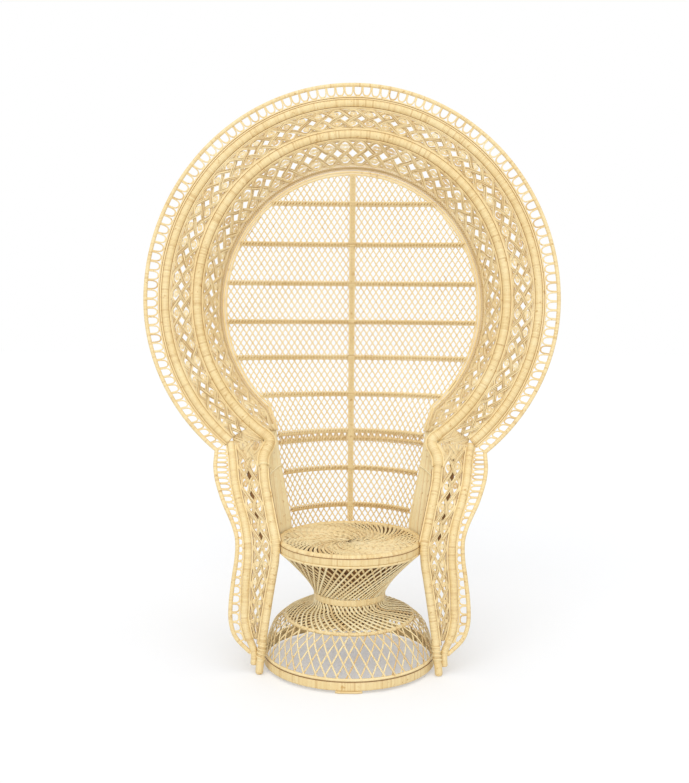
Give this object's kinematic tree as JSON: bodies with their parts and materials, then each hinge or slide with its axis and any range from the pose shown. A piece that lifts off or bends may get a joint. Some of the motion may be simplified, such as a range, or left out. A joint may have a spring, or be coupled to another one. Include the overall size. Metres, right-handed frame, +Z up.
{
  "type": "peacock chair",
  "caption": "Woven cane peacock chair with a tall round fan back, laced side wings, a round seat and an hourglass base.",
  "frame": {"origin": "on the floor, in the middle of the chair's bounding box, 10.5 mm behind the seat's upright axis", "axes": "+Z up, the sitter faces -Y, left and right are as seen from the front with +X to the right"},
  "size_m": [1.1238, 0.478, 1.5336],
  "materials": {
    "wrapped_cane": "satin",
    "split_cane": "satin",
    "shaded_cane": "satin",
    "seat_cane": "satin"
  },
  "bodies": {
    "root": {"fan_outer_rim": "wrapped_cane", "fan_outer_hoop": "wrapped_cane", "fan_inner_hoop": "wrapped_cane", "fringe_rod": "split_cane", "outer_hoop_rod": "split_cane", "outer_lace_inner_rod": "split_cane", "fan_loop_fringe": "split_cane", "outer_lace_front_ribbon": "split_cane", "outer_lace_rear_ribbon": "shaded_cane", "panel_border_outer_rod": "wrapped_cane", "panel_border_inner_rod": "wrapped_cane", "inner_lace_front_ribbon": "split_cane", "inner_lace_rear_ribbon": "shaded_cane", "back_net_front_layer": "split_cane", "back_net_rear_layer": "shaded_cane", "back_row_1": "split_cane", "back_row_2": "split_cane", "back_row_3": "split_cane", "back_row_4": "split_cane", "back_row_5": "split_cane", "back_row_6": "split_cane", "back_row_7": "split_cane", "back_row_8": "split_cane", "back_row_9": "split_cane", "back_spine": "split_cane", "left_front_post": "wrapped_cane", "left_elbow": "wrapped_cane", "left_wing_pole": "wrapped_cane", "left_wing_rim": "wrapped_cane", "left_wing_loop_fringe": "split_cane", "left_wing_lace_front_ribbon": "split_cane", "left_wing_lace_rear_ribbon": "shaded_cane", "left_cheek": "shaded_cane", "right_front_post": "wrapped_cane", "right_elbow": "wrapped_cane", "right_wing_pole": "wrapped_cane", "right_wing_rim": "wrapped_cane", "right_wing_loop_fringe": "split_cane", "right_wing_lace_front_ribbon": "split_cane", "right_wing_lace_rear_ribbon": "shaded_cane", "right_cheek": "shaded_cane", "seat_band": "wrapped_cane", "seat_rod": "wrapped_cane", "seat_weave": "seat_cane", "waist_band": "wrapped_cane", "mid_ring": "wrapped_cane", "base_band": "wrapped_cane", "base_rod": "wrapped_cane", "front_floor_pad": "wrapped_cane", "rear_floor_pad": "wrapped_cane", "upper_cone_outer_layer": "split_cane", "upper_cone_inner_layer": "shaded_cane", "shoulder_outer_layer": "split_cane", "shoulder_inner_layer": "shaded_cane", "skirt_outer_layer": "split_cane", "skirt_inner_layer": "shaded_cane"}
  },
  "joints": []
}
